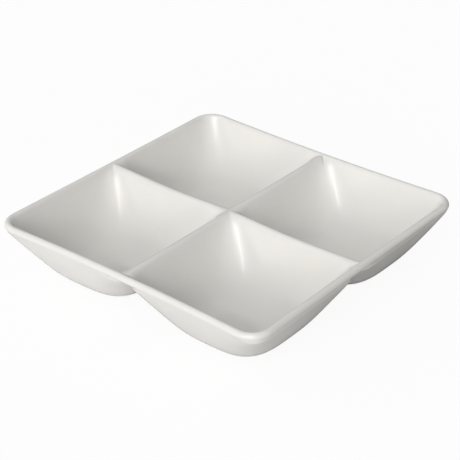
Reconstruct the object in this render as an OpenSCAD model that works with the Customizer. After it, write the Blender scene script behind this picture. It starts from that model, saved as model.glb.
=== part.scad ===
// Divided serving bowl: a square porcelain dish with four wells under one rolled lip.
// Millimetres. +Z is up, and the origin is on the table, under the middle of the dish.
// The front is -Y and the right is +X. All four quarters are mirror images of the one
// at the back right, whose own coordinates are u and v, both positive.

/* [Dish] */
// Side of the square dish, across the lip near its corners
dish_side = 240; // [216:1:264]
// Height from the table to the top of the lip
dish_height = 50; // [45:0.5:55]
// Outer radius of the four corners of the lip
corner_radius = 18; // [13:0.5:24]
// How far the front and back sides draw in at their middle
front_bow = 2.6; // [0:0.1:4]
// How far the left and right sides draw in at their middle
side_bow = 0.5; // [0:0.1:4]

/* [Lip] */
// Thickness of the rolled lip
lip_thickness = 5.6; // [4.8:0.1:6.4]
// How far the front and back walls stand back from the outermost edge of the lip
front_overhang = 2; // [0.8:0.1:2.6]
// How far the left and right walls stand back from it
side_overhang = 1.4; // [0.8:0.1:2.2]

/* [Wells] */
// Distance between the middles of two neighbouring wells
well_pitch = 116; // [113:0.5:118]
// From the outermost edge of the lip in to the mouth of a well
mouth_inset = 7.2; // [6.6:0.1:8]
// Thickness of the floor at the middle of a well
floor_thickness = 4.2; // [3:0.1:6]

/* [Dividers] */
// Width of a divider where its rounded crest meets the walls of the wells
divider_width = 10.5; // [9:0.1:12]
// Thickness of a divider from its crest down to the hollow under it
divider_thickness = 6.4; // [5.4:0.1:8]
// Width of the hollow under a divider, where the walls begin
hollow_width = 4; // [3:0.1:5]
// How far the crests lie below the top of the lip at the crossing
crest_drop = 0.7; // [0.4:0.1:1.6]
// Further sag in the middle of the left and right dividers
side_sag = 1.4; // [0:0.1:2.4]
// Further sag in the middle of the front and back dividers
front_sag = 0.2; // [0:0.1:2.4]

/* [Feet] */
// Height of the foot ring under each well
foot_height = 1.2; // [0.8:0.1:2]
// Outer diameter of a foot ring
foot_diameter = 35; // [30:0.5:36]
// Width of a foot ring's standing face
foot_width = 3.2; // [2.4:0.1:4.2]
// Slope of a foot ring's sides, measured level
foot_draft = 0.4; // [0.2:0.1:0.8]

/* [Hidden] */

// Where the wells end and the crests and the lip begin, below the middle of the lip
wall_joint_drop = 5;
divider_joint_drop = 6;
body_joint_drop = 5.5;
hollow_joint_drop = 12;

// How full the bowl of a well is inside, and how full its body is outside
bowl_fullness_share = 4.3;
body_fullness_share = 2.4;
// The part of the body's half width that is flat on the table side
body_flat_share = 0.32;
// Squareness of the wells: 2 is round and more is squarer
mouth_square_share = 8;
floor_square_share = 3.3;
// How quickly the corners grow rounder below the mouth
square_hold_share = 12;

// Where a crest meets the round section of the lip, from its top
lip_crest_angle = 25;
// Part of a turn around a well in which a divider spreads into the lip
web_angle = 9;
// Part of a turn, to either side of a well's far corner, that belongs to the lip
lip_side_angle = 70;
// How evenly a crest and a hollow run into the lip
crest_rise_share = 30;
hollow_rise_share = 6;
// Length of the handles that round the crests, as a share of their span
round_share = 0.38;

// Steps of the surfaces
quarter_steps = 18;
crossing_steps = 3;
bowl_steps = 10;
body_steps = 8;
crest_steps = 4;
lip_steps = 9;
// How much the steps crowd towards the corners, and towards the mouth
corner_crowd_share = 0.6;
mouth_crowd_share = 1.6;
foot_sides = 96;
glaze = [0.93, 0.925, 0.91];
bisque = [0.86, 0.84, 0.80];

// Sizes worked out from those above
half = dish_side / 2;
centre = well_pitch / 2;
lip_radius = lip_thickness / 2;
lip_z = dish_height - lip_radius;
floor_z = foot_height + floor_thickness;
bowl_lip_reach = [half - mouth_inset - centre, half - mouth_inset - centre];
bowl_divider_reach = centre - divider_width / 2;
body_lip_reach = [half - side_overhang - centre, half - front_overhang - centre];
body_divider_reach = centre - hollow_width / 2;
// The line on which crests meet the lip, and its corner radius
join_half = half - lip_radius * (1 + sin(lip_crest_angle));
join_radius = corner_radius - lip_radius * (1 + sin(lip_crest_angle));
join_rise = lip_radius * cos(lip_crest_angle);
crest_fall = crest_drop - (lip_radius - join_rise);

function mix(a, b, t) = a + (b - a) * t;
function unit(v) = v / norm(v);
function smooth(t) = let (c = min(1, max(0, t))) c * c * (3 - 2 * c);

// Direction of each step around a well, anticlockwise from the lip at the right divider
join_angle = atan2(-centre, join_half - centre);
turn_stops = [join_angle, 45, 90 - join_angle, 225, 360 + join_angle];
turn_steps = 4 * quarter_steps;
lip_end = 2 * quarter_steps;
crossing_step = 3 * quarter_steps;
function crowd(t) = t - corner_crowd_share * sin(360 * t) / (2 * PI);
function angle(i) = let (k = i % turn_steps, s = floor(k / quarter_steps))
    mix(turn_stops[s], turn_stops[s + 1], crowd((k - s * quarter_steps) / quarter_steps));
function ray(i) = [cos(angle(i)), sin(angle(i))];

// 1 on the side of the lip and 0 on the side of the dividers
function lip_side(i) = smooth((cos(angle(i) - 45) / cos(lip_side_angle) + 1) / 2);
// Nearness to the corner where a divider meets the lip
function web(i) = smooth(1 - min(abs(angle(i) - turn_stops[0]), abs(angle(i) - turn_stops[2])) / web_angle);

// Reach of a rounded square from the well's middle: its half widths towards the lip, along
// u and v, and towards the dividers
function reach(i, lip_reach, div_reach, square) = let (d = ray(i),
    a = abs(d.x) / (d.x > 0 ? lip_reach.x : div_reach), b = abs(d.y) / (d.y > 0 ? lip_reach.y : div_reach))
    pow(pow(a, square) + pow(b, square), -1 / square);
function squareness(t) = mix(floor_square_share, mouth_square_share, pow(t, square_hold_share));
function level(j, steps) = 1 - pow(j / steps, mouth_crowd_share);

// A point of the glazed bowl at step i around the well: t is 1 at the mouth, 0 in the middle
function bowl_top(i) = lip_z - mix(divider_joint_drop, wall_joint_drop, lip_side(i));
function bowl_far(i, t) = t * reach(i, bowl_lip_reach, bowl_divider_reach, squareness(t));
function bowl_high(i, t) = mix(floor_z, bowl_top(i), pow(t, bowl_fullness_share));
function off(i, far, high) = [each [centre, centre] + ray(i) * far, high];
function bowl(i, t) = off(i, bowl_far(i, t), bowl_high(i, t));

// A point of the underside of the body, flat in the middle
function body_top(i) = lip_z - mix(hollow_joint_drop, body_joint_drop, lip_side(i));
function body_far(i, t) = t * reach(i, body_lip_reach, body_divider_reach, squareness(t));
function body_high(i, t) = mix(foot_height, body_top(i),
    pow(max(0, (t - body_flat_share) / (1 - body_flat_share)), body_fullness_share));
function body(i, t) = off(i, body_far(i, t), body_high(i, t));

// Slope of the two walls at their mouths, in degrees, taken over the last of their run
short_share = 0.98;
function bowl_slope(i) = atan2(bowl_high(i, 1) - bowl_high(i, short_share),
    bowl_far(i, 1) - bowl_far(i, short_share));
function body_slope(i) = atan2(body_high(i, 1) - body_high(i, short_share),
    body_far(i, 1) - body_far(i, short_share));

// Heights along a divider, w from the crossing: its crest and the hollow under it
function sag_of(i) = i < crossing_step ? front_sag : side_sag;
function crest(w, sag) = lip_z + join_rise - sag * pow(sin(180 * w / join_half), 2)
    - crest_fall * (1 - pow(w / join_half, crest_rise_share));
function hollow(w, sag) = crest(w, sag)
    - mix(divider_thickness, 2 * join_rise, pow(w / join_half, hollow_rise_share));

// Where the ray of step i meets the line of the dividers
function along(i) = i == crossing_step ? 0
    : i < crossing_step ? centre * (1 + ray(i).y / abs(ray(i).x))
    : centre * (1 + ray(i).x / abs(ray(i).y));
function ridge(i, high) = i < crossing_step ? [0, along(i), high] : [along(i), 0, high];

// Where the ray of step i meets the line of the lip, with the outward direction there
join_middle = join_half - join_radius;
function on_side(i) = let (d = ray(i), t = (join_half - centre) / max(d.x, d.y))
    d.x > d.y ? [join_half, centre + t * d.y] : [centre + t * d.x, join_half];
function on_corner(i) = let (d = ray(i), p = (centre - join_middle) * [1, 1], k = p * d)
    [centre, centre] + d * (sqrt(k * k - p * p + join_radius * join_radius) - k);
function is_corner(i) = let (q = on_side(i)) min(q.x, q.y) > join_middle;
function join_point(i) = i == 0 ? [join_half, 0] : i == lip_end ? [0, join_half]
    : is_corner(i) ? on_corner(i) : on_side(i);
function outward(i) = is_corner(i) ? unit(on_corner(i) - join_middle * [1, 1])
    : ray(i).x > ray(i).y ? [1, 0] : [0, 1];

// A point of the lip's round section, a from its top and outwards positive
function lip_middle(i) = join_point(i) + outward(i) * lip_radius * sin(lip_crest_angle);
function lip(i, a) = [each lip_middle(i) + outward(i) * lip_radius * sin(a), lip_z + lip_radius * cos(a)];
// Slope of the line from the mouth p of a wall that just touches the round section, on
// its inner side where side is -1 and on its outer side where it is 1
function touch_slope(i, p, side) = let (run = (lip_middle(i) - [p.x, p.y]) * outward(i), rise = lip_z - p.z)
    atan2(rise, run) - side * asin(lip_radius / norm([run, rise]));
function wall_angle(i) = mix(-touch_slope(i, bowl(i, 1), -1), -lip_crest_angle, web(i));
function under_angle(i) = mix(180 - touch_slope(i, body(i, 1), 1), 180 + lip_crest_angle, web(i));
function spread(i) = unit(mix(outward(i), ray(i), web(i)));

// A rounded path of crest_steps from one point and direction to another
function bend(p, p_way, q, q_way) = let (h = round_share * norm(q - p), p1 = p + p_way * h, q1 = q - q_way * h)
    [for (k = [0:crest_steps]) let (t = k / crest_steps, s = 1 - t)
        k == 0 ? p : k == crest_steps ? q
        : s * s * s * p + 3 * s * s * t * p1 + 3 * s * t * t * q1 + t * t * t * q];
function way(flat_way, slope) = [each flat_way * cos(slope), sin(slope)];
function on_lip(i) = i % turn_steps <= lip_end;
// Slopes of the crest and of the hollow along a divider, seen along the ray
nudge = 0.1;
function run_slope(i, w, low) = let (s = sag_of(i), b = max(0, w - nudge),
    rise = low ? hollow(w, s) - hollow(b, s) : crest(w, s) - crest(b, s),
    lean = i < crossing_step ? ray(i).y : ray(i).x)
    w <= nudge ? 0 : atan(rise / (w - b) * lean);

// From the mouth of the bowl up to the lip or to a crest
function over(i) = on_lip(i)
    ? bend(bowl(i, 1), way(ray(i), bowl_slope(i)), lip(i, wall_angle(i)), way(spread(i), -wall_angle(i)))
    : bend(bowl(i, 1), way(ray(i), bowl_slope(i)), ridge(i, crest(along(i), sag_of(i))),
        way(ray(i), run_slope(i, along(i), false)));
// From the top of the body up to the lip or to the hollow of a divider
function under(i) = on_lip(i)
    ? bend(body(i, 1), way(ray(i), body_slope(i)), lip(i, under_angle(i)),
        way(spread(i), max(0, 180 - under_angle(i))))
    : bend(body(i, 1), way(ray(i), body_slope(i)), ridge(i, hollow(along(i), sag_of(i))),
        way(ray(i), run_slope(i, along(i), true)));
function reversed(l) = [for (k = [len(l) - 1:-1:0]) l[k]];
function lip_section(i) = [each over(i),
    for (k = [1:lip_steps - 1]) lip(i, mix(wall_angle(i), under_angle(i), k / lip_steps)),
    each reversed(under(i))];

// Moves a quarter point to its place: sx and sy mirror it, and the sides draw in
straight_half = half - corner_radius;
function bow_in(a, b, bow) = a * (1 - bow / half * (1 - pow(b / straight_half, 2)) * pow(a / half, 2));
function placed(p, sx, sy) = [sx * bow_in(p.x, p.y, side_bow) + 0, sy * bow_in(p.y, p.x, front_bow) + 0, p.z];

// A patch is a grid of points, rows by columns, and whether its faces are turned over
function quarter(patches, sx, sy) = [for (p = patches)
    [[for (row = p[0]) [for (q = row) placed(q, sx, sy)]], sx * sy < 0 ? !p[1] : p[1]]];
function patch_faces(rows, flip, first) = let (n = len(rows[0]))
    [for (i = [0:len(rows) - 2]) for (j = [0:n - 2])
        let (a = first + i * n + j, b = a + 1, c = a + n, d = c + 1) each [
            if (rows[i][j + 1] != rows[i + 1][j + 1]) flip ? [a, d, b] : [a, b, d],
            flip ? [a, c, d] : [a, d, c]]];
function starts(patches, k = 0, sum = 0) = k == len(patches) ? []
    : [sum, each starts(patches, k + 1, sum + len(patches[k][0]) * len(patches[k][0][0]))];
module closed(patches) {
    first = starts(patches);
    polyhedron([for (p = patches) for (row = p[0]) each row],
        [for (k = [0:len(patches) - 1]) each patch_faces(patches[k][0], patches[k][1], first[k])]);
}

// Patches of the back right quarter, between two steps around its well
function seam(a, b, flip) = [[for (i = [a:b]) [bowl(i, 1), body(i, 1)]], flip];
function cut(i, flip) = [[over(i), under(i)], flip];
function ridge_patches(a, b) = [
    [[for (i = [a:b]) over(i)], true], [[for (i = [a:b]) under(i)], false], seam(a, b, false)];

// The glazed bowl of a well, its body below, and the joint around its mouth
function well_patches() = [
    [[for (i = [0:turn_steps]) [for (j = [0:bowl_steps]) bowl(i, level(j, bowl_steps))]], false],
    [[for (i = [0:turn_steps]) [for (j = [0:body_steps + 1])
        j > body_steps ? off(i, 0, foot_height)
        : body(i, mix(body_flat_share, 1, level(j, body_steps)))]], true],
    seam(0, turn_steps, true)];
module well(sx, sy) {
    color(glaze) closed(quarter(well_patches(), sx, sy));
}
module front_left_well() { well(-1, -1); }
module front_right_well() { well(1, -1); }
module back_left_well() { well(-1, 1); }
module back_right_well() { well(1, 1); }

// A divider's arm runs from the lip to the crossing, half of it in each of two quarters
cross_a = crossing_step - crossing_steps;
cross_b = crossing_step + crossing_steps;
function front_half() = [each ridge_patches(lip_end, cross_a), cut(lip_end, false), cut(cross_a, true)];
function side_half() = [each ridge_patches(cross_b, turn_steps), cut(cross_b, false), cut(turn_steps, true)];
module front_arm(sy) {
    color(glaze) closed([each quarter(front_half(), 1, sy), each quarter(front_half(), -1, sy)]);
}
module side_arm(sx) {
    color(glaze) closed([each quarter(side_half(), sx, 1), each quarter(side_half(), sx, -1)]);
}
module front_divider() { front_arm(-1); }
module back_divider() { front_arm(1); }
module left_divider() { side_arm(-1); }
module right_divider() { side_arm(1); }

// Where the four dividers meet
module divider_crossing() {
    part = [each ridge_patches(cross_a, cross_b), cut(cross_a, false), cut(cross_b, true)];
    color(glaze) closed([for (sx = [-1, 1]) for (sy = [-1, 1]) each quarter(part, sx, sy)]);
}

// The rolled lip, with the web where each divider runs into it
module rim() {
    part = [[[for (i = [0:lip_end]) lip_section(i)], true], seam(0, lip_end, false),
        cut(0, false), cut(lip_end, true)];
    color(glaze) closed([for (sx = [-1, 1]) for (sy = [-1, 1]) each quarter(part, sx, sy)]);
}

// The unglazed ring that a well stands on
module foot(sx, sy) {
    at = placed([centre, centre, 0], sx, sy);
    outer = foot_diameter / 2;
    inner = outer - foot_width - 2 * foot_draft;
    color(bisque) translate(at) rotate_extrude($fn = foot_sides)
        polygon([[inner, foot_height], [inner + foot_draft, 0], [outer - foot_draft, 0], [outer, foot_height]]);
}
module front_left_foot() { foot(-1, -1); }
module front_right_foot() { foot(1, -1); }
module back_left_foot() { foot(-1, 1); }
module back_right_foot() { foot(1, 1); }

front_left_well();
front_right_well();
back_left_well();
back_right_well();
front_divider();
back_divider();
left_divider();
right_divider();
divider_crossing();
rim();
front_left_foot();
front_right_foot();
back_left_foot();
back_right_foot();
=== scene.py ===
import bpy
import numpy as np
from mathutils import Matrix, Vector


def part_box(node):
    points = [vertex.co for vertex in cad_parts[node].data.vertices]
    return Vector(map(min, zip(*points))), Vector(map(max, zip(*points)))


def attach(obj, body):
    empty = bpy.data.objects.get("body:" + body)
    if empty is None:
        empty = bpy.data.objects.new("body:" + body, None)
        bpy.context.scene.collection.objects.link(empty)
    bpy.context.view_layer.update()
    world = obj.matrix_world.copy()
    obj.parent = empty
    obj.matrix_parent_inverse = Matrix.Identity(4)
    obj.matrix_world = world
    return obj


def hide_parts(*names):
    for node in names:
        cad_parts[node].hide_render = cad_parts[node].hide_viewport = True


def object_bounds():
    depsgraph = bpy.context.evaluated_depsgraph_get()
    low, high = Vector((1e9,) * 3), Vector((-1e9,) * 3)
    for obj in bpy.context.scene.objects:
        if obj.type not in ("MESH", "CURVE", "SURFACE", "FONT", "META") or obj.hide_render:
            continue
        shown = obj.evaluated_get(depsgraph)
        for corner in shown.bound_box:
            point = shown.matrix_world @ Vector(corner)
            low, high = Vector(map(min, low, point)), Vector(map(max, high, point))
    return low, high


# Divided serving bowl in white glazed porcelain: four wells under one rolled lip.
# Metres, Z up, origin on the table under the middle. The front is -Y and the right is +X.
# Every surface is worked out for the quarter at the back right and mirrored to the others.

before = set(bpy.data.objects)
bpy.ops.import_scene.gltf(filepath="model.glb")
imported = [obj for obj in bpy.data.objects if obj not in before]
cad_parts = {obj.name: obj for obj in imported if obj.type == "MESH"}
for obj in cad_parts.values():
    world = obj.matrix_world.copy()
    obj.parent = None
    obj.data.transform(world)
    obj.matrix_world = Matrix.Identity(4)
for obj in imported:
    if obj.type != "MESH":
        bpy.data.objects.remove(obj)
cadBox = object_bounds()
print("frame: nodes loaded:", len(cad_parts))

footLow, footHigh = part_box("back_right_foot")
footSize = footHigh - footLow

dish = {
    "side": round(cadBox[1].x - cadBox[0].x, 3),
    "height": cadBox[1].z,
    "wellPitch": 0.116,
    "cornerRadius": 0.018,
    "frontBow": 0.0026,      # how far the front and back draw in at their middle
    "sideBow": 0.0005,       # the same for the left and right
}
lip = {
    "thickness": 0.0056,
    "frontOverhang": 0.002,  # outermost edge of the lip to the wall below it
    "sideOverhang": 0.0014,
    "crestAngle": 25,        # where a crest meets the round section, from its top
    "webAngle": 9,           # how far round a well a divider spreads into the lip
    "sideAngle": 70,         # how far from a well's outer corner its wall still ends at the lip's level
}
bowl = {
    "mouthInset": 0.0072,
    "floorThickness": 0.0042,
    "lipDrop": 0.005,        # where the bowl ends, below the middle of the lip
    "dividerDrop": 0.006,    # the same along the dividers
    "fullness": 4.3,         # more makes a flatter floor and steeper walls
}
body = {
    "lipDrop": 0.0055,
    "hollowDrop": 0.012,
    "fullness": 2.4,
    "flatShare": 0.32,       # share of the way out over which the underside is flat
}
corner = {
    "mouthSquare": 8,        # 2 is round and more is squarer
    "floorSquare": 3.3,
    "hold": 12,              # how quickly a well grows rounder below its mouth
}
divider = {
    "width": 0.0105,
    "thickness": 0.0064,
    "hollowWidth": 0.004,
    "crestDrop": 0.0007,     # crossing below the top of the lip
    "sideSag": 0.0014,       # how far the left and right arms dip between their ends
    "frontSag": 0.0002,
    "crestRise": 30,         # more makes a crest climb to the lip later
    "hollowRise": 6,         # the same for the underside of a divider
    "roundShare": 0.38,      # handles of the curve over a crest, as a share of its span
}
mesh = {
    "quarterSteps": 60,      # steps round a well from one corner to the next
    "crossingSteps": 10,
    "bowlSteps": 40,
    "bodySteps": 36,
    "flatSteps": 5,
    "crestSteps": 12,
    "lipSteps": 20,
    "cornerCrowd": 0.6,      # how much closer together the steps are at corners and at mouths
    "mouthCrowd": 1.6,
    "slopeShare": 0.98,      # the slope at a mouth, at 1, is taken from here
    "slopeRun": 0.0001,      # metres along a divider between the two heights that give its slope
    "placesPerMetre": 1e6,   # points that round to one place are one point
}

half = dish["side"] / 2
centre = dish["wellPitch"] / 2
lipRadius = lip["thickness"] / 2
lipZ = dish["height"] - lipRadius
footHeight = footSize.z
floorZ = footHeight + bowl["floorThickness"]
crestSin = np.sin(np.radians(lip["crestAngle"]))
crestCos = np.cos(np.radians(lip["crestAngle"]))
joinHalf = half - lipRadius * (1 + crestSin)      # the line on which the dividers meet the lip
joinRadius = dish["cornerRadius"] - lipRadius * (1 + crestSin)
joinMiddle = joinHalf - joinRadius
joinRise = lipRadius * crestCos
crestFall = divider["crestDrop"] - (lipRadius - joinRise)


def mix(a, b, t):
    return a + (b - a) * t


def smooth(t):
    t = np.clip(t, 0, 1)
    return t * t * (3 - 2 * t)


def unit(v):
    return v / np.linalg.norm(v, axis=-1, keepdims=True)


# Directions round a well, anticlockwise from the end of the right divider, in degrees
outerCorner, innerCorner = 45, 225
quarterSteps = mesh["quarterSteps"]
turnSteps = 4 * quarterSteps
lipEnd = 2 * quarterSteps
crossingStep = 3 * quarterSteps
joinAngle = np.degrees(np.arctan2(-centre, joinHalf - centre))
turnStops = np.array([joinAngle, outerCorner, 90 - joinAngle, innerCorner, 360 + joinAngle])
step = np.arange(turnSteps)
stop = step // quarterSteps
share = step / quarterSteps - stop
share = share - mesh["cornerCrowd"] * np.sin(2 * np.pi * share) / (2 * np.pi)
angle = mix(turnStops[stop], turnStops[stop + 1], share)
ray = np.stack([np.cos(np.radians(angle)), np.sin(np.radians(angle))], axis=-1)
fromCorner = np.cos(np.radians(angle - outerCorner))
lipSide = smooth((fromCorner / np.cos(np.radians(lip["sideAngle"])) + 1) / 2)
nearJoin = np.minimum(abs(angle - turnStops[0]), abs(angle - turnStops[2]))
web = smooth(1 - nearJoin / lip["webAngle"])


# How far a well reaches in each direction: a rounded square, rounder below its mouth
def reach(lipReach, dividerReach, t):
    square = mix(corner["floorSquare"], corner["mouthSquare"], t ** corner["hold"])
    a = abs(ray[:, :1]) / np.where(ray[:, :1] > 0, lipReach[0], dividerReach)
    b = abs(ray[:, 1:]) / np.where(ray[:, 1:] > 0, lipReach[1], dividerReach)
    return (a ** square + b ** square) ** (-1 / square)


def roundWell(far, high):
    flat = centre + ray[:, None, :] * far[:, :, None]
    return np.concatenate([flat, np.broadcast_to(high, far.shape)[:, :, None]], axis=-1)


# The glazed inside of a well. t is 1 at the mouth and 0 in the middle.
def bowlSurface(t):
    t = np.atleast_1d(t)[None, :]
    mouth = half - bowl["mouthInset"] - centre
    far = t * reach((mouth, mouth), centre - divider["width"] / 2, t)
    top = lipZ - mix(bowl["dividerDrop"], bowl["lipDrop"], lipSide)[:, None]
    return roundWell(far, mix(floorZ, top, t ** bowl["fullness"]))


# The underside of a well, flat in the middle
def bodySurface(t):
    t = np.atleast_1d(t)[None, :]
    lipReach = (half - lip["sideOverhang"] - centre, half - lip["frontOverhang"] - centre)
    far = t * reach(lipReach, centre - divider["hollowWidth"] / 2, t)
    top = lipZ - mix(body["hollowDrop"], body["lipDrop"], lipSide)[:, None]
    climb = np.maximum(0, (t - body["flatShare"]) / (1 - body["flatShare"])) ** body["fullness"]
    return roundWell(far, mix(footHeight, top, climb))


# Heights along a divider, w metres from the crossing
def crestHeight(w, sag):
    return (lipZ + joinRise - sag * np.sin(np.pi * w / joinHalf) ** 2
            - crestFall * (1 - (w / joinHalf) ** divider["crestRise"]))


def hollowHeight(w, sag):
    deep = mix(divider["thickness"], 2 * joinRise, (w / joinHalf) ** divider["hollowRise"])
    return crestHeight(w, sag) - deep


# Where each direction round the well meets the line of the lip
def joinLine():
    along = ray[:lipEnd + 1]
    far = (joinHalf - centre) / along.max(axis=1)
    onSide = centre + along * far[:, None]
    toRight = along[:, 0] > along[:, 1]
    outward = np.where(toRight[:, None], [1.0, 0.0], [0.0, 1.0])
    inset = centre - joinMiddle
    k = inset * along.sum(axis=1)
    onCorner = centre + along * (np.sqrt(k * k - 2 * inset ** 2 + joinRadius ** 2) - k)[:, None]
    isCorner = onSide.min(axis=1) > joinMiddle
    points = np.where(isCorner[:, None], onCorner, onSide)
    outward = np.where(isCorner[:, None], unit(onCorner - joinMiddle), outward)
    points[0] = [joinHalf, 0]
    points[-1] = [0, joinHalf]
    return points, outward


joinPoints, joinOutward = joinLine()
lipWeb = web[:lipEnd + 1]


# The walls run straight into the lip: the angles on its round section, from its top and
# outwards positive, at which the line from the mouth of a surface touches it. side is -1
# for the inner side of the lip and 1 for its outer side.
def touchAngles(surface, side):
    mouth = surface(1.0)[:lipEnd + 1, 0]
    middle = joinPoints + joinOutward * lipRadius * crestSin
    outward = ((middle - mouth[:, :2]) * joinOutward).sum(axis=1)
    rise = lipZ - mouth[:, 2]
    lean = np.degrees(np.arcsin(lipRadius / np.hypot(outward, rise)))
    return np.degrees(np.arctan2(rise, outward)) - side * lean


wallAngle = mix(-touchAngles(bowlSurface, -1), -lip["crestAngle"], lipWeb)
underAngle = mix(180 - touchAngles(bodySurface, 1), 180 + lip["crestAngle"], lipWeb)


def lipPoint(a):
    a = np.radians(a)
    flat = joinPoints + joinOutward * (lipRadius * (crestSin + np.sin(a)))[:, None]
    return np.concatenate([flat, (lipZ + lipRadius * np.cos(a))[:, None]], axis=-1)


# Directions that climb at a slope, in degrees, over flat ones
def way(flat, slope):
    slope = np.radians(slope)
    return np.concatenate([flat * np.cos(slope)[:, None], np.sin(slope)[:, None]], axis=-1)


def mouthSlope(surface):
    last = surface(np.array([mesh["slopeShare"], 1.0]))
    rise = last[:, 1] - last[:, 0]
    return np.degrees(np.arctan2(rise[:, 2], np.linalg.norm(rise[:, :2], axis=1)))


# Curves from one place and direction to another
def bend(start, startWay, end, endWay):
    handle = divider["roundShare"] * np.linalg.norm(end - start, axis=1)[:, None]
    first, second = start + startWay * handle, end - endWay * handle
    t = np.linspace(0, 1, mesh["crestSteps"] + 1)[None, :, None]
    s = 1 - t
    return (s ** 3 * start[:, None] + 3 * s * s * t * first[:, None]
            + 3 * s * t * t * second[:, None] + t ** 3 * end[:, None])


# Points on the line of the dividers, crest or hollow, and the directions in which a
# surface comes to them. w is the distance from the crossing.
def ridgeEnd(height):
    run = mesh["slopeRun"]
    rows = np.arange(lipEnd + 1, turnSteps)
    d = ray[rows]
    onFront = rows < crossingStep
    w = centre * (1 + np.where(onFront, d[:, 1] / abs(d[:, 0]), d[:, 0] / abs(d[:, 1])))
    w[rows == crossingStep] = 0
    sag = np.where(onFront, divider["frontSag"], divider["sideSag"])
    back = np.maximum(0, w - run)
    lean = np.where(onFront, d[:, 1], d[:, 0])
    rise = (height(w, sag) - height(back, sag)) / np.maximum(w - back, run / 2)
    slope = np.where(w <= run, 0, np.degrees(np.arctan(rise * lean)))
    flat = np.where(onFront[:, None], np.stack([0 * w, w], -1), np.stack([w, 0 * w], -1))
    return np.concatenate([flat, height(w, sag)[:, None]], -1), way(d, slope)


def closedTurn(rows):
    return np.concatenate([rows, rows[:1]])


# From the mouth of a surface to the lip and to the dividers, all the way round a well
def roundOver(surface, lipTurn, lipSlope, height):
    spread = unit(mix(joinOutward, ray[:lipEnd + 1], lipWeb[:, None]))
    ridgePoints, ridgeWay = ridgeEnd(height)
    end = np.concatenate([lipPoint(lipTurn), ridgePoints])
    endWay = np.concatenate([way(spread, lipSlope), ridgeWay])
    start = surface(1.0)[:, 0]
    return closedTurn(bend(start, way(ray, mouthSlope(surface)), end, endWay))


# Rings of a surface from its mouth inwards, closest together at the mouth
def levels(steps):
    return 1 - (np.arange(steps + 1) / steps) ** mesh["mouthCrowd"]


bowlRows = closedTurn(bowlSurface(levels(mesh["bowlSteps"])))
bodyShares = mix(body["flatShare"], 1, levels(mesh["bodySteps"]))
flatShares = body["flatShare"] * np.linspace(1, 0, mesh["flatSteps"] + 1)[1:]
bodyRows = closedTurn(bodySurface(np.concatenate([bodyShares, flatShares])))
overRows = roundOver(bowlSurface, wallAngle, -wallAngle, crestHeight)
underRows = roundOver(bodySurface, underAngle, np.maximum(0, 180 - underAngle), hollowHeight)
lipShares = np.arange(1, mesh["lipSteps"]) / mesh["lipSteps"]
lipRows = np.stack([lipPoint(mix(wallAngle, underAngle, t)) for t in lipShares], axis=1)


# A patch is a grid of points, whether its faces are turned over, and whether it is skin.
# What isn't skin is a joint between two pieces, hidden inside the porcelain.
def skin(rows, flip):
    return rows, flip, True


def seam(first, last, flip):
    rows = np.stack([bowlRows[first:last + 1, 0], bodyRows[first:last + 1, 0]], axis=1)
    return rows, flip, False


def cut(at, flip):
    return np.stack([overRows[at], underRows[at]]), flip, False


def ridge(first, last):
    return [skin(overRows[first:last + 1], True), skin(underRows[first:last + 1], False),
            seam(first, last, False)]


crossFirst = crossingStep - mesh["crossingSteps"]
crossLast = crossingStep + mesh["crossingSteps"]
wellPatches = [skin(bowlRows, False), skin(bodyRows, True), seam(0, turnSteps, True)]
frontArm = ridge(lipEnd, crossFirst) + [cut(lipEnd, False), cut(crossFirst, True)]
sideArm = ridge(crossLast, turnSteps) + [cut(crossLast, False), cut(turnSteps, True)]
crossing = ridge(crossFirst, crossLast) + [cut(crossFirst, False), cut(crossLast, True)]
lipSection = np.concatenate([overRows[:lipEnd + 1], lipRows, underRows[:lipEnd + 1, ::-1]], axis=1)
rimPatches = [skin(lipSection, True), seam(0, lipEnd, False), cut(0, False), cut(lipEnd, True)]

quarters = {"front_left": (-1, -1), "front_right": (1, -1), "back_left": (-1, 1), "back_right": (1, 1)}
everywhere = list(quarters.values())
recipes = {name + "_well": (wellPatches, [signs]) for name, signs in quarters.items()}
recipes["front_divider"] = (frontArm, [(-1, -1), (1, -1)])
recipes["back_divider"] = (frontArm, [(-1, 1), (1, 1)])
recipes["left_divider"] = (sideArm, [(-1, -1), (-1, 1)])
recipes["right_divider"] = (sideArm, [(1, -1), (1, 1)])
recipes["divider_crossing"] = (crossing, everywhere)
recipes["rim"] = (rimPatches, everywhere)


# Mirrors a quarter's points to their place, and draws the sides in
def placed(points, signs):
    straight = half - dish["cornerRadius"]

    def drawn(a, b, bow):
        return a * (1 - bow / half * (1 - (b / straight) ** 2) * (a / half) ** 2)

    u, v, z = points[..., 0], points[..., 1], points[..., 2]
    return np.stack([signs[0] * drawn(u, v, dish["sideBow"]) + 0,
                     signs[1] * drawn(v, u, dish["frontBow"]) + 0, z], axis=-1)


def keys(points):
    return np.round(points * mesh["placesPerMetre"]).astype(np.int64)


# Points and faces of one piece, with its patches sewn where they touch
def sewn(patches, places):
    points, faces, isSkin, count = [], [], [], 0
    for signs in places:
        for rows, flip, skinned in patches:
            n, m = rows.shape[:2]
            index = count + np.arange(n * m).reshape(n, m)
            a, b, c, d = index[:-1, :-1], index[:-1, 1:], index[1:, :-1], index[1:, 1:]
            turned = flip != (signs[0] * signs[1] < 0)
            quads = np.stack([a, b, d, c] if turned else [a, c, d, b], axis=-1).reshape(-1, 4)
            points.append(placed(rows, signs).reshape(-1, 3))
            faces.append(quads)
            isSkin.append(np.full(len(quads), skinned))
            count += n * m
    points = np.concatenate(points)
    _, first, where = np.unique(keys(points), axis=0, return_index=True, return_inverse=True)
    faces = where.reshape(-1)[np.concatenate(faces)]
    return points[first], faces, np.concatenate(isSkin)


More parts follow.
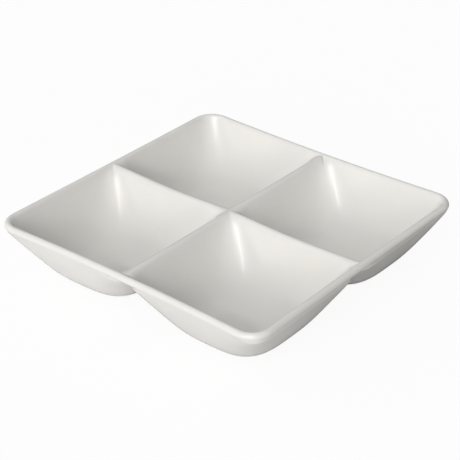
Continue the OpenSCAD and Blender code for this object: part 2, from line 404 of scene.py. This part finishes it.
# A normal at each corner of each face, longer where the corner is larger
def cornerNormals(points, faces):
    at = points[faces]
    toNext = np.roll(at, -1, axis=1) - at
    toLast = np.roll(at, 1, axis=1) - at
    return np.cross(toNext, toLast)


# One normal for each place on the skin, whichever piece holds it, so that no joint shows
def skinNormals(pieces):
    places = np.concatenate([keys(points)[faces[isSkin]].reshape(-1, 3)
                             for points, faces, isSkin in pieces.values()])
    bits = np.concatenate([cornerNormals(points, faces[isSkin]).reshape(-1, 3)
                           for points, faces, isSkin in pieces.values()])
    shared, where = np.unique(places, axis=0, return_inverse=True)
    total = np.zeros((len(shared), 3))
    np.add.at(total, where.reshape(-1), bits)
    return {tuple(k): n for k, n in zip(shared.tolist(), unit(total).tolist())}


def makePiece(name, points, faces, isSkin, normals, material):
    tiny = 1e-30             # keeps a face with no area from a division by zero
    flat = unit(cornerNormals(points, faces).sum(axis=1) + tiny).tolist()
    place = [tuple(k) for k in keys(points).tolist()]
    polygons, loopNormals = [], []
    for face, skinned, normal in zip(faces.tolist(), isSkin.tolist(), flat):
        ring = [v for k, v in enumerate(face) if v != face[k - 1]]
        if len(ring) > 2:
            polygons.append(ring)
            loopNormals += [normals[place[v]] if skinned else normal for v in ring]
    data = bpy.data.meshes.new(name)
    data.from_pydata(points.tolist(), [], polygons)
    data.shade_smooth()
    data.normals_split_custom_set(loopNormals)
    data.materials.append(material)
    piece = bpy.data.objects.new(name, data)
    bpy.context.scene.collection.objects.link(piece)
    return piece


# Materials
glaze = {
    "white": (0.80, 0.782, 0.745),
    "pooled": (0.775, 0.762, 0.732),
    "cloudSize": 0.03,       # metres across the soft changes of tone
    "cloudDetail": 3,
    "roughness": 0.32,       # of the body under the clear coat
    "roughnessSpread": 0.03,
    "specular": 0.1,
    "index": 1.5,
    "coatRoughness": 0.04,
    "rippleSize": 0.012,
    "rippleDetail": 1,
    "rippleHeight": 0.00001,
    "speck": (0.55, 0.53, 0.48),
    "speckSize": 0.004,      # about one pinhole to a square of this side
    "speckEdge": (0.02, 0.045),  # where a pinhole starts to fade and ends, as shares of that side
    "speckStrength": 0.35,
}
bisque = {
    "pale": (0.74, 0.71, 0.66),
    "warm": (0.66, 0.62, 0.56),
    "patchSize": 0.0048,
    "roughness": 0.75,
    "roughnessSpread": 0.1,
    "specular": 0.3,
    "grainSize": 0.0006,
    "grainDetail": 3,
    "grainRoughness": 0.6,
    "grainHeight": 0.00003,
}
noiseRange = (0.3, 0.7)      # most values of a noise texture lie between these


def newMaterial(name):
    material = bpy.data.materials.new(name)
    material.use_nodes = True
    tree = material.node_tree
    shader = tree.nodes["Principled BSDF"]
    place = tree.nodes.new("ShaderNodeTexCoord")
    return material, tree, shader, place.outputs["Object"]


def noise(tree, place, size, detail=2.0, roughness=0.5):
    node = tree.nodes.new("ShaderNodeTexNoise")
    node.inputs["Scale"].default_value = 1 / size
    node.inputs["Detail"].default_value = detail
    node.inputs["Roughness"].default_value = roughness
    tree.links.new(place, node.inputs["Vector"])
    return node.outputs["Fac"]


def remap(tree, value, low, high, toLow, toHigh):
    node = tree.nodes.new("ShaderNodeMapRange")
    node.interpolation_type = "SMOOTHSTEP"
    for name, number in zip(("From Min", "From Max", "To Min", "To Max"), (low, high, toLow, toHigh)):
        node.inputs[name].default_value = number
    tree.links.new(value, node.inputs["Value"])
    return node.outputs["Result"]


# Each of the two is a colour or the socket of one
def blendColours(tree, factor, first, second):
    node = tree.nodes.new("ShaderNodeMix")
    node.data_type = "RGBA"
    tree.links.new(factor, node.inputs["Factor"])
    firstColour, secondColour, blended = node.inputs[6], node.inputs[7], node.outputs[2]
    for socket, colour in ((firstColour, first), (secondColour, second)):
        if isinstance(colour, tuple):
            socket.default_value = (*colour, 1)
        else:
            tree.links.new(colour, socket)
    return blended


def bump(tree, height, distance):
    node = tree.nodes.new("ShaderNodeBump")
    node.inputs["Distance"].default_value = distance
    tree.links.new(height, node.inputs["Height"])
    return node.outputs["Normal"]


def varyRoughness(tree, shader, pattern, facts):
    low = facts["roughness"] - facts["roughnessSpread"]
    high = facts["roughness"] + facts["roughnessSpread"]
    tree.links.new(remap(tree, pattern, *noiseRange, low, high), shader.inputs["Roughness"])


def glazeMaterial():
    material, tree, shader, place = newMaterial("whiteGlaze")
    clouds = noise(tree, place, glaze["cloudSize"], glaze["cloudDetail"])
    tone = remap(tree, clouds, *noiseRange, 0, 1)
    colour = blendColours(tree, tone, glaze["white"], glaze["pooled"])
    cells = tree.nodes.new("ShaderNodeTexVoronoi")
    cells.inputs["Scale"].default_value = 1 / glaze["speckSize"]
    tree.links.new(place, cells.inputs["Vector"])
    speck = remap(tree, cells.outputs["Distance"], *glaze["speckEdge"], glaze["speckStrength"], 0)
    colour = blendColours(tree, speck, colour, glaze["speck"])
    tree.links.new(colour, shader.inputs["Base Color"])
    ripple = noise(tree, place, glaze["rippleSize"], glaze["rippleDetail"])
    varyRoughness(tree, shader, ripple, glaze)
    wavy = bump(tree, ripple, glaze["rippleHeight"])
    tree.links.new(wavy, shader.inputs["Normal"])
    tree.links.new(wavy, shader.inputs["Coat Normal"])
    shader.inputs["IOR"].default_value = glaze["index"]
    shader.inputs["Specular IOR Level"].default_value = glaze["specular"]
    shader.inputs["Coat Weight"].default_value = 1.0
    shader.inputs["Coat Roughness"].default_value = glaze["coatRoughness"]
    return material


def bisqueMaterial():
    material, tree, shader, place = newMaterial("bareBisque")
    grain = noise(tree, place, bisque["grainSize"], bisque["grainDetail"], bisque["grainRoughness"])
    tone = remap(tree, noise(tree, place, bisque["patchSize"]), *noiseRange, 0, 1)
    colour = blendColours(tree, tone, bisque["pale"], bisque["warm"])
    tree.links.new(colour, shader.inputs["Base Color"])
    varyRoughness(tree, shader, grain, bisque)
    tree.links.new(bump(tree, grain, bisque["grainHeight"]), shader.inputs["Normal"])
    shader.inputs["Specular IOR Level"].default_value = bisque["specular"]
    return material


whiteGlaze = glazeMaterial()
bareBisque = bisqueMaterial()
print("materials made")

sewnPieces = {name: sewn(*recipe) for name, recipe in recipes.items()}
normalAt = skinNormals(sewnPieces)
for name, (points, faces, isSkin) in sewnPieces.items():
    piece = makePiece("porcelain_" + name, points, faces, isSkin, normalAt, whiteGlaze)
    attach(piece, "root")
    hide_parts(name)
print("wells, dividers and rim made")

# Foot rings: a turned profile, bare only where it stands
foot = {
    "width": 0.0032,
    "draft": 0.0004,
    "cove": 0.0005,          # fillet where the ring meets the underside
    "round": 0.0003,         # softened edges of the standing face
    "sides": 128,
    "arcSteps": 5,
    "sharpAngle": 50,        # edges that turn by more stay sharp, in degrees
}


def arc(middle, radius, start, end):
    a = np.radians(np.linspace(start, end, foot["arcSteps"] + 1))
    return [(middle[0] + radius * np.cos(t), middle[1] + radius * np.sin(t)) for t in a]


def footProfile():
    outer = footSize.x / 2
    inner = outer - foot["width"] - 2 * foot["draft"]
    cove, soft = foot["cove"], foot["round"]
    outerWall = outer - foot["draft"] / 2
    innerWall = inner + foot["draft"] / 2
    glazed = arc((outerWall + cove, footHeight - cove), cove, 90, 180)
    bare = arc((outerWall - soft, soft), soft, 0, -90) + arc((innerWall + soft, soft), soft, -90, -180)
    inside = arc((innerWall - cove, footHeight - cove), cove, 0, 90)
    return glazed, bare, inside


def makeFoot(name):
    low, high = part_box(name)
    at = (low + high) / 2
    glazed, bare, inside = footProfile()
    profile = glazed + bare + inside
    isBare = [len(glazed) <= k < len(glazed) + len(bare) - 1 for k in range(len(profile))]
    turn = np.linspace(0, 2 * np.pi, foot["sides"], endpoint=False)
    points = [(at.x + r * np.cos(t), at.y + r * np.sin(t), z) for t in turn for r, z in profile]
    n, m = foot["sides"], len(profile)
    polygons, slots = [], []
    for i in range(n):
        for j in range(m):
            a, b = i * m + j, i * m + (j + 1) % m
            c, d = (i + 1) % n * m + j, (i + 1) % n * m + (j + 1) % m
            polygons.append([a, b, d, c])
            slots.append(1 if isBare[j] else 0)
    data = bpy.data.meshes.new(name)
    data.from_pydata(points, [], polygons)
    data.materials.append(whiteGlaze)
    data.materials.append(bareBisque)
    data.polygons.foreach_set("material_index", slots)
    data.shade_smooth()
    data.set_sharp_from_angle(angle=np.radians(foot["sharpAngle"]))
    ring = bpy.data.objects.new("porcelain_" + name, data)
    bpy.context.scene.collection.objects.link(ring)
    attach(ring, "root")
    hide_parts(name)


for name in quarters:
    makeFoot(name + "_foot")
print("foot rings made")

# Floor and studio
studio = {
    "floorSide": 6.0,
    "floorRoughness": 0.9,
    "floorSpecular": 0.1,
    "floorColour": 0.95,     # as the camera sees it
    # The floor's colour as it lights the underside of the dish and shows in the glaze, with painted
    # light and shade: lighter on one side of the dish and darker on the other
    "paintedLitBounce": 0.83,      # on its side of painted light
    "paintedShadeBounce": 0.4,        # on its side of painted shade
    "paintedLightFrom": -20,       # azimuth of the side of painted light, in degrees
    "bounceReach": 0.15,     # metres from the middle to where it levels out
    "floorGlow": 0.93,       # share of the seen floor that is plain white
    "mirrorGlow": 0.06,      # the same in the glaze, where more of the shadow under the dish shows
    "roomLevel": 0.24,       # light from every side
}
# Azimuth 0 is in front of the dish, at -Y, and 90 is to its right, at +X.
# Each soft side of the room fades between two angles from its middle, in degrees.
softSides = {
    "front": {"azimuth": 21, "elevation": 25, "bright": 0, "dark": 34, "level": 4.4},
    "left": {"azimuth": -74, "elevation": 17, "bright": 0, "dark": 34, "level": 1.15},
    "back": {"azimuth": -141, "elevation": 60, "bright": 20, "dark": 26, "level": 0.42},
    "ceiling": {"azimuth": 0, "elevation": 90, "bright": 51, "dark": 57, "level": 0.14},
}
lamps = {
    "strip": {"azimuth": 9, "elevation": 44, "distance": 1.5, "size": (0.085, 0.62), "radiance": 4.6},
}


def toward(azimuth, elevation):
    a, e = np.radians(azimuth), np.radians(elevation)
    return Vector((np.sin(a) * np.cos(e), -np.cos(a) * np.cos(e), np.sin(e)))


def mathNode(tree, operation, first, second):
    node = tree.nodes.new("ShaderNodeMath")
    node.operation = operation
    for socket, value in zip(node.inputs, (first, second)):
        if isinstance(value, float):
            socket.default_value = value
        else:
            tree.links.new(value, socket)
    return node.outputs[0]


# How far a place, or a direction, lies toward an azimuth and elevation
def amountToward(tree, place, azimuth, elevation):
    node = tree.nodes.new("ShaderNodeVectorMath")
    node.operation = "DOT_PRODUCT"
    tree.links.new(place, node.inputs[0])
    node.inputs[1].default_value = toward(azimuth, elevation)
    return node.outputs["Value"]


# Nearly plain white where the camera sees it, with the shadow of the dish left in, and
# mostly a lit surface with painted light and shade across it where it shows in the glaze or throws
# light back
def floorMaterial():
    material, tree, shader, place = newMaterial("paleFloor")
    shader.inputs["Roughness"].default_value = studio["floorRoughness"]
    shader.inputs["Specular IOR Level"].default_value = studio["floorSpecular"]
    path = tree.nodes.new("ShaderNodeLightPath")
    seen = path.outputs["Is Camera Ray"]
    mirrored = mathNode(tree, "MAXIMUM",
                        path.outputs["Is Glossy Ray"], path.outputs["Is Transmission Ray"])
    # Painted light and shade: the floor is coloured lighter toward one side and darker toward the other
    side = amountToward(tree, place, studio["paintedLightFrom"], 0)
    span = studio["bounceReach"]
    paintedBounce = remap(tree, side, -span, span, studio["paintedShadeBounce"], studio["paintedLitBounce"])
    colour = blendColours(tree, seen, paintedBounce, (studio["floorColour"],) * 3)
    tree.links.new(colour, shader.inputs["Base Color"])
    white = mathNode(tree, "MULTIPLY", seen, studio["floorGlow"])
    mirroredWhite = mathNode(tree, "MULTIPLY", mirrored, studio["mirrorGlow"])
    glow = tree.nodes.new("ShaderNodeEmission")
    both = tree.nodes.new("ShaderNodeMixShader")
    tree.links.new(mathNode(tree, "MAXIMUM", white, mirroredWhite), both.inputs["Fac"])
    tree.links.new(shader.outputs[0], both.inputs[1])
    tree.links.new(glow.outputs[0], both.inputs[2])
    tree.links.new(both.outputs[0], tree.nodes["Material Output"].inputs["Surface"])
    return material


def makeFloor():
    material = floorMaterial()
    data = bpy.data.meshes.new("floor")
    r = studio["floorSide"] / 2
    data.from_pydata([(-r, -r, 0), (r, -r, 0), (r, r, 0), (-r, r, 0)], [], [[0, 1, 2, 3]])
    data.materials.append(material)
    floor = bpy.data.objects.new("floor", data)
    bpy.context.scene.collection.objects.link(floor)


def makeLamp(name, facts):
    light = bpy.data.lights.new(name, "AREA")
    light.shape = "RECTANGLE"
    light.size, light.size_y = facts["size"]
    light.energy = facts["radiance"] * np.pi * light.size * light.size_y
    lamp = bpy.data.objects.new(name, light)
    back = toward(facts["azimuth"], facts["elevation"])
    lamp.location = back * facts["distance"]
    lamp.rotation_euler = back.to_track_quat("Z", "Y").to_euler()
    bpy.context.scene.collection.objects.link(lamp)


def makeWorld():
    world = bpy.data.worlds.new("studio")
    bpy.context.scene.world = world
    world.use_nodes = True
    tree = world.node_tree
    background = tree.nodes["Background"]
    background.inputs["Color"].default_value = (1, 1, 1, 1)
    place = tree.nodes.new("ShaderNodeTexCoord")
    level = studio["roomLevel"]
    for facts in softSides.values():
        facing = amountToward(tree, place.outputs["Generated"], facts["azimuth"], facts["elevation"])
        dark, bright = np.cos(np.radians((facts["dark"], facts["bright"])))
        glow = remap(tree, facing, dark, bright, 0, facts["level"])
        level = mathNode(tree, "ADD", glow, level)
    tree.links.new(level, background.inputs["Strength"])


makeFloor()
makeWorld()
for name, facts in lamps.items():
    makeLamp(name, facts)
print("studio made")

camera = {
    "azimuth": 39.30,
    "elevation": 30.29,
    "distance": 1.0732,
    "target": (0.01608, -0.01896, 0.0475),
    "lens": 117.4,           # millimetres, and so is the sensor
    "sensor": 36,
    "farthest": 20,
}


def makeCamera():
    data = bpy.data.cameras.new("camera")
    data.lens = camera["lens"]
    data.sensor_width = camera["sensor"]
    data.clip_end = camera["farthest"]
    eye = bpy.data.objects.new("camera", data)
    back = toward(camera["azimuth"], camera["elevation"])
    eye.location = Vector(camera["target"]) + back * camera["distance"]
    eye.rotation_euler = back.to_track_quat("Z", "Y").to_euler()
    bpy.context.scene.collection.objects.link(eye)
    bpy.context.scene.camera = eye


makeCamera()
bpy.context.scene.view_settings.view_transform = "Standard"
